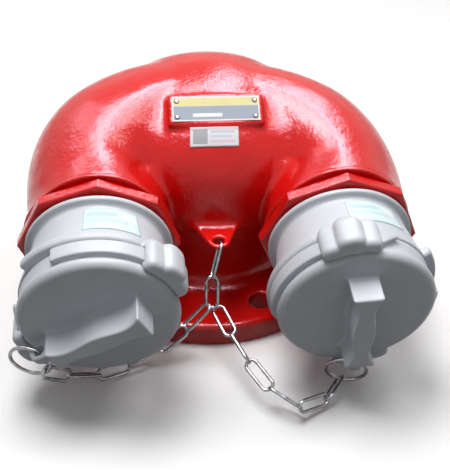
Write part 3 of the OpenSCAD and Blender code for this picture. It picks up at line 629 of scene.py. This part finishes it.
def couplingDistance(points):
    # the barrel, two claws of three lobes each, and two lugs that swell at one end, less the cap's path
    c = coupling
    x, y, out = points[:, 0], points[:, 1], points[:, 2]
    radial = np.hypot(x, y)
    solid = barrelAt(radial, out)
    flip = np.where(y < 0, -1.0, 1.0)
    cx, cy = x * flip, y * flip
    lobes = squareRound(cx, cy - c["ringRadius"] - c["middleOut"]) - c["clawMiddle"]
    for turn in (-1, 1):
        sideX, sideY = turn * math.sin(c["clawPitch"]), math.cos(c["clawPitch"])
        across = cx * sideY - cy * sideX
        reach = cx * sideX + cy * sideY - c["ringRadius"] + c["sideIn"]
        lobes = softUnion(lobes, squareRound(across, reach) - c["clawSide"], c["lobeBlend"])
    claw = softMeet(lobes, c["clawBack"] - out, c["clawBevel"])
    claw = softMeet(claw, out - c["clawFront"], c["clawNose"])
    slot = np.abs(out - (c["length"] + c["hookBack"]) / 2) - (c["hookBack"] - c["length"]) / 2
    path = np.maximum(radial - c["clawClear"], slot)
    front = np.maximum(radial - c["hookRadius"], c["hookBack"] - c["hookGap"] - out)
    core = np.maximum(radial - c["coreRadius"], out - c["length"])
    claw = softMeet(claw, -np.minimum(np.minimum(path, front), core), c["pathEdge"])
    solid = softUnion(solid, claw, c["clawFillet"])
    angle = np.mod(np.arctan2(x, y), math.pi) - c["lugStart"]
    swell = c["lugSwell"] * (1 + np.cos(math.pi * np.clip(angle / c["swellArc"], 0, 1))) / 2
    ends = np.maximum(-angle, angle - c["lugArc"]) * c["lugMean"]
    slab = np.abs(out - c["length"] + c["lugDepth"] / 2) - c["lugDepth"] / 2 + c["lugThin"]
    lug = softMeet(radial - c["ringRadius"] - swell, slab, c["lugEdge"])
    lug = softMeet(lug, ends, c["lugEdge"])
    lug = np.maximum(lug, c["lugRoot"] - radial)
    return softUnion(solid, lug, c["lugFillet"])


cap = {
    "back": 0.0463, "front": 0.0655, "drum": 0.051, "rim": 0.0525, "rounding": 0.0053, "plate": 0.006,
    "cavity": 0.031, "step": 0.040, "stepDepth": 0.005, "groove": (0.043, 0.0475), "grooveGap": 0.0015,
    "beadFoot": 0.0002, "beadTop": 0.0024, "pastAxis": 0.01, "table": 0.00035,
    "lugFront": 0.057, "lugRadius": 0.0555, "lugArc": math.radians(118), "lugEnd": math.radians(27),
    "lugMean": 0.053, "lugRoot": 0.050, "lugRim": 0.0012, "lugEdge": 0.001,
    "wedgeStart": 0.013, "wedgeRise": 0.852, "wedgeRun": 0.524,
    "handleHalf": 0.034, "handleHeight": 0.0205, "handleThick": 0.0074, "handleFlare": 0.004,
    "handleWave": 0.0017, "waveSpan": 1.22, "waveGain": 1.4, "flareReach": 1.1, "flarePower": 6,
    "handleEdge": 0.0018, "handleSink": 0.003, "handleFillet": 0.003,
    "earReach": 0.0435, "earRise": 0.007, "earRadius": 0.007, "earThick": 0.006, "earHole": 0.0038,
    "bridgeMiddle": 0.003, "bridgeHalf": 0.007, "earEdge": 0.0012, "earFillet": 0.0015, "holeEdge": 0.0008,
    "pitch": 0.0009, "low": (-0.058, -0.058, 0.0445), "high": (0.058, 0.058, 0.088),
    "turn": {-1: math.radians(51 + 8 + 180), 1: math.radians(-11 + 8 + 180)},
}


def drumOutline():
    # half section of the cap: drum, bead and rounded face outside, stepped cavity and seal groove inside
    c = cap
    angle = np.radians(np.arange(0, 91, 10))
    edge = np.stack([c["rim"] - c["rounding"] + c["rounding"] * np.cos(angle),
                     c["front"] - c["rounding"] + c["rounding"] * np.sin(angle)], axis=1)
    roof, inner, outer = c["front"] - c["plate"], *c["groove"]
    inside = [[-c["cavity"], roof], [c["cavity"], roof], [c["cavity"], c["back"] + c["stepDepth"]],
              [c["step"], c["back"] + c["stepDepth"]], [c["step"], c["back"]], [inner, c["back"]],
              [inner, roof - c["grooveGap"]], [outer, roof - c["grooveGap"]], [outer, c["back"]],
              [c["drum"], c["back"]], [c["drum"], c["lugFront"] + c["beadFoot"]],
              [c["rim"], c["lugFront"] + c["beadTop"]]]
    return np.concatenate([inside, edge, [[-c["pastAxis"], c["front"]], [-c["cavity"], c["front"]]]])


drumAt = outlineDistance(drumOutline(), cap["table"])


def handleSide(along):
    # half the handle's thickness: thinner between its middle and its ends
    c = cap
    wave = 1 - np.cos(2 * math.pi * along / (c["waveSpan"] * c["handleHalf"]))
    wave = c["handleWave"] * wave / 2 * c["waveGain"]
    flare = np.minimum(np.abs(along) / c["handleHalf"], c["flareReach"]) ** c["flarePower"]
    return c["handleThick"] - wave + c["handleFlare"] * flare


def capDistance(points):
    # the drum, two lugs with wedge ends, the waved handle and the ear at its end
    c = cap
    x, y, out = points[:, 0], points[:, 1], points[:, 2]
    radial = np.hypot(x, y)
    solid = drumAt(radial, out)
    turn = np.mod(np.arctan2(x, y) - c["lugEnd"] + c["lugArc"], math.pi)
    ends = np.maximum(-turn, turn - c["lugArc"]) * c["lugMean"]
    leading = (turn - c["lugArc"]) * c["lugMean"]
    wedge = (out - c["lugFront"]) * c["wedgeRise"] + (leading + c["wedgeStart"]) * c["wedgeRun"]
    slab = np.abs(out - (c["back"] + c["lugFront"]) / 2) - (c["lugFront"] - c["back"]) / 2
    lug = softMeet(radial - c["lugRadius"], slab, c["lugRim"])
    lug = softMeet(softMeet(lug, ends, c["lugEdge"]), wedge, c["lugEdge"])
    solid = softUnion(solid, np.maximum(lug, c["lugRoot"] - radial), c["lugEdge"])
    top = c["front"] + c["handleHeight"]
    handle = softMeet(np.abs(x) - handleSide(y), np.abs(y) - c["handleHalf"], c["handleEdge"])
    handle = softMeet(handle, out - top, c["handleEdge"])
    handle = np.maximum(handle, c["front"] - c["handleSink"] - out)
    solid = softUnion(solid, handle, c["handleFillet"])
    fromEar = out - (c["front"] + c["earRise"])
    fromHole = np.hypot(y - c["earReach"], fromEar)
    rise = np.abs(fromEar) - c["earRadius"]
    bridge = np.maximum(rise, np.abs(y - c["handleHalf"] - c["bridgeMiddle"]) - c["bridgeHalf"])
    ear = softMeet(np.minimum(fromHole - c["earRadius"], bridge), np.abs(x) - c["earThick"] / 2, c["earEdge"])
    solid = softUnion(solid, ear, c["earFillet"])
    return softMeet(solid, c["earHole"] - fromHole, c["holeEdge"])


couplingNet = netFrom(couplingDistance, coupling["low"], coupling["high"], coupling["pitch"])
capNet = netFrom(capDistance, cap["low"], cap["high"], cap["pitch"])
for side, word in sides.items():
    for (points, faces), label, turn, body in ((couplingNet, "coupling", coupling["turn"][side], "root"),
                                               (capNet, "cap", cap["turn"][side], word + "_cap")):
        placed = fromInlet(side, turnZ(points, -turn))
        piece = meshPiece(word + label.capitalize(), placed, faces, paleAlloy, body)
        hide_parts(word + "_" + label)
print("couplings:", len(couplingNet[1]), "faces each, caps:", len(capNet[1]), "faces each")


chain = {
    "wire": 0.0024, "width": 0.0104, "length": 0.0269, "weld": 0.16, "weldLength": 0.0016,
    "wireSides": 14, "bendSteps": 13, "legSteps": 15,
}
ring = {"wire": 0.0024, "outside": 0.030, "weld": 0.10, "weldAngle": 2.0, "weldLength": 0.0016, "steps": 72}


def nodeFrame(node):
    # centre and the three axes of a part, longest first, from the spread of its points
    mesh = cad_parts[node].data
    points = np.empty(len(mesh.vertices) * 3, np.float32)
    mesh.vertices.foreach_get("co", points)
    points = points.reshape(-1, 3).astype(float)
    centre = (points.min(axis=0) + points.max(axis=0)) / 2
    points = np.unique(np.round(points, 6), axis=0)
    axes = np.linalg.eigh(np.cov((points - points.mean(axis=0)).T))[1]
    long, wide = axes[:, 2], axes[:, 1]
    flat = np.cross(long, wide)
    for axis in (long, wide, flat):
        reach = points @ axis
        centre = centre + axis * ((reach.min() + reach.max()) / 2 - centre @ axis)
    return centre, long, wide, flat


def sweptRound(path, out, up, radius):
    # a circle carried along a closed path, with its own radius at each step
    turn = np.linspace(0, 2 * math.pi, chain["wireSides"], endpoint=False)
    circle = np.cos(turn)[None, :, None] * out[:, None, :] + np.sin(turn)[None, :, None] * up
    points = path[:, None, :] + circle * radius[:, None, None]
    return points.reshape(-1, 3), gridFaces(len(path), len(turn), True, True)


def linkPiece(node):
    # wire bent into a loop with straight legs, thicker where one leg is welded
    centre, long, wide, flat = nodeFrame(node)
    bend = (chain["width"] - chain["wire"]) / 2
    half = (chain["length"] - chain["width"]) / 2
    angle = np.linspace(0, math.pi, chain["bendSteps"])
    leg = np.linspace(-half, half, chain["legSteps"])[1:-1]
    none, one = 0 * leg, 1 + 0 * leg
    alongs = np.concatenate([half + bend * np.sin(angle), leg[::-1], -half - bend * np.sin(angle), leg])
    acrosses = np.concatenate([bend * np.cos(angle), none - bend, -bend * np.cos(angle), none + bend])
    outs = np.concatenate([np.stack([np.sin(angle), np.cos(angle)], 1), np.stack([none, -one], 1),
                           np.stack([-np.sin(angle), -np.cos(angle)], 1), np.stack([none, one], 1)])
    path = centre + alongs[:, None] * long + acrosses[:, None] * wide
    out = outs[:, :1] * long + outs[:, 1:] * wide
    weld = chain["weld"] * np.exp(-(alongs / chain["weldLength"]) ** 2) * (acrosses > bend * 0.9)
    points, faces = sweptRound(path, out, flat, chain["wire"] / 2 * (1 + weld))
    piece = meshPiece("link_" + node.replace("chain_link_", ""), points, faces[:, ::-1], zincWire, None)
    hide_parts(node)
    return piece


def ringPiece(word):
    # a round ring of wire with a small weld
    centre, long, wide, flat = nodeFrame(word + "_cap_ring")
    angle = np.linspace(0, 2 * math.pi, ring["steps"], endpoint=False)
    out = np.cos(angle)[:, None] * long + np.sin(angle)[:, None] * wide
    radius = (ring["outside"] - ring["wire"]) / 2
    weld = ring["weld"] * np.exp(-((angle - ring["weldAngle"]) * radius / ring["weldLength"]) ** 2)
    points, faces = sweptRound(centre + out * radius, out, flat, ring["wire"] / 2 * (1 + weld))
    piece = meshPiece(word + "Ring", points, faces[:, ::-1], zincWire, word + "_cap")
    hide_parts(word + "_cap_ring")


for i in (1, 2):
    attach(linkPiece("chain_link_middle_" + str(i)), "root")
for side, word in sides.items():
    ringPiece(word)
    first = nodeFrame("chain_link_" + word + "_1")[0]
    last = nodeFrame("chain_link_" + word + "_6")[0]
    for i in range(1, 7):
        piece = linkPiece("chain_link_" + word + "_" + str(i))
        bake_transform(piece)
print("chain: 14 links and 2 rings")


sheet = {"columns": 33, "rows": 15, "rounds": 8, "step": 0.004, "thickness": 0.0003}


def patchPiece(name, centre, right, up, size, distance, material):
    # a flat sheet laid onto a surface: a grid across and along it, settled on the surface and lifted off it
    across = np.linspace(-0.5, 0.5, sheet["columns"])
    along = np.linspace(-0.5, 0.5, sheet["rows"])
    u, v = np.meshgrid(across, along, indexing="ij")
    points = centre + u[..., None] * size["width"] * right + v[..., None] * size["height"] * up
    points = points.reshape(-1, 3)
    for turn in range(sheet["rounds"]):
        points = settle(distance, points, sheet["step"])
    slope = slopeOf(distance, points)
    points = points + slope / np.linalg.norm(slope, axis=1, keepdims=True) * size["lift"]
    uv = np.stack([u.ravel() + 0.5, v.ravel() + 0.5], axis=1)
    piece = meshPiece(name, points, gridFaces(sheet["columns"], sheet["rows"]), material, "root", uv)
    wall = piece.modifiers.new("thickness", "SOLIDIFY")
    wall.thickness = sheet["thickness"]
    wall.offset = 1


def bandMask(tree, value, low, high, soft):
    # one inside the band from low to high, none outside, with soft edges
    rise = rescale(tree, value, low - soft, low + soft, 0.0, 1.0)
    fall = rescale(tree, value, high - soft, high + soft, 1.0, 0.0)
    return calculate(tree, "MULTIPLY", rise, fall)


def printBlocks(tree, colour, across, along, blocks, soft):
    # lays each block, its place as left, right, bottom and top and then its colour, over the colour below it
    for (left, right, bottom, top), tint in blocks:
        wide = bandMask(tree, across, left, right, soft)
        tall = bandMask(tree, along, bottom, top, soft)
        colour = mixColour(tree, calculate(tree, "MULTIPLY", wide, tall), colour, (*tint, 1))
    return colour


namePlate = {
    "edge": (0.74, 0.74, 0.72), "dark": (0.60, 0.60, 0.58), "soft": 0.0001,
    "blocks": [((-0.0291, 0.0291, 0.0022, 0.0081), (0.66, 0.58, 0.24)),
               ((-0.0291, 0.0291, -0.0081, 0.0020), (0.27, 0.31, 0.36)),
               ((-0.0160, 0.0040, -0.0060, -0.0034), (0.72, 0.74, 0.74))],
}


def platePaint():
    # bands of plain colour on the plate: a cream band over a blue-grey one, inside a pale edge
    material, tree, shader, tone, place = finish("platePaint", {
        "colour": namePlate["edge"], "dark": namePlate["dark"], "drift": 0.35, "patch": 90.0,
        "smooth": 0.25, "rough": 0.42, "specular": 0.12, "wave": 300.0, "dimple": 900.0,
        "bump": 0.2, "depth": 0.0002})
    lean = Matrix.Rotation(-casting["padLean"], 3, "X")
    shift = lean @ Vector((0, -casting["padY"], -padRise))
    local = addNode(tree, "Mapping", {
        "Vector": place, "Location": shift, "Rotation": (-casting["padLean"], 0, 0)}, vector_type="POINT")
    x, y = addNode(tree, "SeparateXYZ", {0: local.outputs[0]}).outputs[:2]
    colour = printBlocks(tree, tone.outputs["Color"], x, y, namePlate["blocks"], namePlate["soft"])
    tree.links.new(colour, shader.inputs["Base Color"])
    return material


def labelPaint(name, paper, blocks):
    # a printed label: plain blocks of colour on its own across and along, from 0 to 1
    material, tree, shader, tone = finish(name, {
        "colour": paper, "dark": tuple(0.9 * value for value in paper), "drift": 0.3, "patch": 120.0,
        "smooth": 0.3, "rough": 0.45, "specular": 0.1, "wave": 300.0, "dimple": 900.0,
        "bump": 0.1, "depth": 0.0001})[:4]
    place = tree.nodes.new("ShaderNodeUVMap").outputs[0]
    u, v = addNode(tree, "SeparateXYZ", {0: place}).outputs[:2]
    tree.links.new(printBlocks(tree, tone.outputs["Color"], u, v, blocks, 0.008), shader.inputs["Base Color"])
    return material


domeLabel = labelPaint("domeLabel", (0.78, 0.78, 0.80), [
    ((0.06, 0.36, 0.14, 0.86), (0.42, 0.42, 0.44)), ((0.42, 0.92, 0.66, 0.80), (0.62, 0.60, 0.66)),
    ((0.42, 0.86, 0.44, 0.56), (0.60, 0.66, 0.74)), ((0.42, 0.92, 0.20, 0.32), (0.74, 0.60, 0.62))])
barrelLabel = labelPaint("barrelLabel", (0.66, 0.80, 0.80), [
    ((0.06, 0.60, 0.62, 0.82), (0.50, 0.66, 0.68)), ((0.06, 0.78, 0.34, 0.50), (0.55, 0.70, 0.70)),
    ((0.70, 0.94, 0.56, 0.86), (0.80, 0.84, 0.82))])

plateMaterial = platePaint()
label = {
    "centre": (-0.002, -0.055, 0.143), "right": (1.0, 0.0, 0.0), "up": (0.02, 0.66, 0.75),
    "width": 0.033, "height": 0.014, "lift": 0.0002,
}
labelUp = np.array(label["up"]) / np.linalg.norm(label["up"])
patchPiece("domeLabel", np.array(label["centre"]), np.array(label["right"]), labelUp,
           label, castingSkin, domeLabel)

barrelSticker = {
    "width": 0.040, "height": 0.0225, "out": 0.0201, "radius": 0.049, "lift": 0.0002,
    "turn": {-1: math.radians(11), 1: math.radians(17)},
}
for side, word in sides.items():
    def coneDistance(points, side=side):
        # distance to the cone of the barrel, without its cove and rim
        local = toInlet(side, points)
        start = coupling["gasket"] + coupling["coneStart"]
        flare = (coupling["frontRadius"] - coupling["rootRadius"]) / (coupling["length"] - start)
        cone = coupling["rootRadius"] + flare * (local[:, 2] - start)
        return (np.hypot(local[:, 0], local[:, 1]) - cone) / math.hypot(1, flare)

    across, along = math.sin(barrelSticker["turn"][side]), math.cos(barrelSticker["turn"][side])
    radius = barrelSticker["radius"]
    middle = np.array([radius * across, radius * along, barrelSticker["out"]])
    corner = fromInlet(side, np.stack([middle, middle + [along, -across, 0], middle + [0, 0, -1]]))
    patchPiece(word + "Sticker", corner[0], corner[1] - corner[0], corner[2] - corner[0],
               barrelSticker, coneDistance, barrelLabel)
print("plate and labels done")

# Finishes of the parts that stay as they are
keptFinishes = {
    "name_plate": plateMaterial, "plate_rivets": rivetSteel, "thread_gasket": blackRubber,
    "coupling_seal": blackRubber, "hinge_pin": zincWire, "clapper_facing": blackRubber, "clapper": bronzeCast,
    "cap_seal": blackRubber, "cap_ring": zincWire, "chain_link": zincWire, "coupling": paleAlloy,
    "cap": paleAlloy, "body": redPaint,
}
for name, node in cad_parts.items():
    plain = name.replace("left_", "").replace("right_", "")
    match = plain if plain in keptFinishes else "chain_link"
    node.data.materials.clear()
    node.data.materials.append(keptFinishes[match])

studio = {
    "floorSeen": (1.0, 1.0, 1.0, 1), "floorBounce": (0.16, 0.16, 0.17, 1), "floorHalf": 6,
    "worldStrength": 0.24,
}


def seenShare(tree):
    # 1 for what is seen, straight, mirrored or through glass, and 0 for the light that falls on things
    rays = tree.nodes.new("ShaderNodeLightPath").outputs
    seen = calculate(tree, "MAXIMUM", rays["Is Camera Ray"], rays["Is Glossy Ray"])
    return calculate(tree, "MAXIMUM", seen, rays["Is Transmission Ray"])


floorPoints = np.array([[-1, -1, 0], [1, -1, 0], [1, 1, 0], [-1, 1, 0]], float) * studio["floorHalf"]
floorMaterial = bpy.data.materials.new("paleFloor")
floorTree = emptyTree(floorMaterial)
floorOut = floorTree.nodes.new("ShaderNodeOutputMaterial")
floorTone = mixColour(floorTree, seenShare(floorTree), studio["floorBounce"], studio["floorSeen"])
floorShade = addNode(floorTree, "BsdfDiffuse", {"Color": floorTone})
floorTree.links.new(floorShade.outputs[0], floorOut.inputs[0])
floor = meshPiece("studioFloor", floorPoints, np.array([[0, 1, 2, 3]]), floorMaterial, None)

world = bpy.data.worlds.new("studioWorld")
bpy.context.scene.world = world
worldTree = emptyTree(world)
strength = rescale(worldTree, seenShare(worldTree), 0.0, 1.0, studio["worldStrength"], 1.0)
sky = addNode(worldTree, "Background", {"Color": (1, 1, 1, 1), "Strength": strength})
worldOut = worldTree.nodes.new("ShaderNodeOutputWorld")
worldTree.links.new(sky.outputs[0], worldOut.inputs[0])

# place, point faced, size, power, colour, and whether only gloss shows it: a bright ceiling and windows
white, cool = (1, 1, 1), (0.86, 0.84, 1.0)
lamps = {
    "topLamp": ((-0.20, 0.06, 1.2), (0, -0.03, 0.1), (0.6, 0.5), 12.0, white, False),
    "sideLamp": ((0.55, 0.05, 1.0), (0, -0.03, 0.1), (0.25, 0.5), 3.0, white, False),
    "glossCeiling": ((0.0, 0.15, 1.1), (0, 0.15, 0.1), (0.8, 1.1), 40.0, cool, True),
    "glossWindow": ((0.43, 0.85, 1.24), (0, 0.0, 0.12), (0.55, 0.9), 22.0, cool, True),
    "glossSlit": ((-0.57, 0.67, 0.88), (0, 0.0, 0.12), (0.25, 0.7), 3.0, cool, True),
}
for name, (place, aim, size, power, colour, glossOnly) in lamps.items():
    lamp = bpy.data.lights.new(name, "AREA")
    lamp.shape = "RECTANGLE"
    lamp.size, lamp.size_y = size
    lamp.energy = power
    lamp.color = colour
    lit = addObject(name, lamp)
    lit.visible_camera = False
    lit.visible_diffuse = not glossOnly
    lit.location = place
    lit.rotation_euler = (Vector(aim) - Vector(place)).to_track_quat("-Z", "Y").to_euler()

camera = {
    "azimuth": math.radians(-7.51), "elevation": math.radians(37.69), "distance": 0.79815,
    "target": (0.0, -0.0664, 0.0778), "roll": math.radians(2.86), "shift": (0.021, -0.028),
    "lens": 86.0, "sensor": 36.0, "nearest": 0.02,
}
level = math.cos(camera["elevation"])
forward = Vector((-math.sin(camera["azimuth"]) * level, math.cos(camera["azimuth"]) * level,
                  -math.sin(camera["elevation"])))
right = forward.cross(Vector((0, 0, 1))).normalized()
up = right.cross(forward)
rollRight = right * math.cos(camera["roll"]) + up * math.sin(camera["roll"])
rollUp = up * math.cos(camera["roll"]) - right * math.sin(camera["roll"])
lensData = bpy.data.cameras.new("studioCamera")
lensData.lens = camera["lens"]
lensData.sensor_width = camera["sensor"]
lensData.shift_x, lensData.shift_y = camera["shift"]
lensData.clip_start = camera["nearest"]
view = addObject("studioCamera", lensData)
turn = Matrix((rollRight, rollUp, -forward)).transposed().to_4x4()
view.matrix_world = Matrix.Translation(Vector(camera["target"]) - forward * camera["distance"]) @ turn
bpy.context.scene.camera = view

bpy.context.scene.view_settings.view_transform = "Standard"
print("camera, light and floor placed")
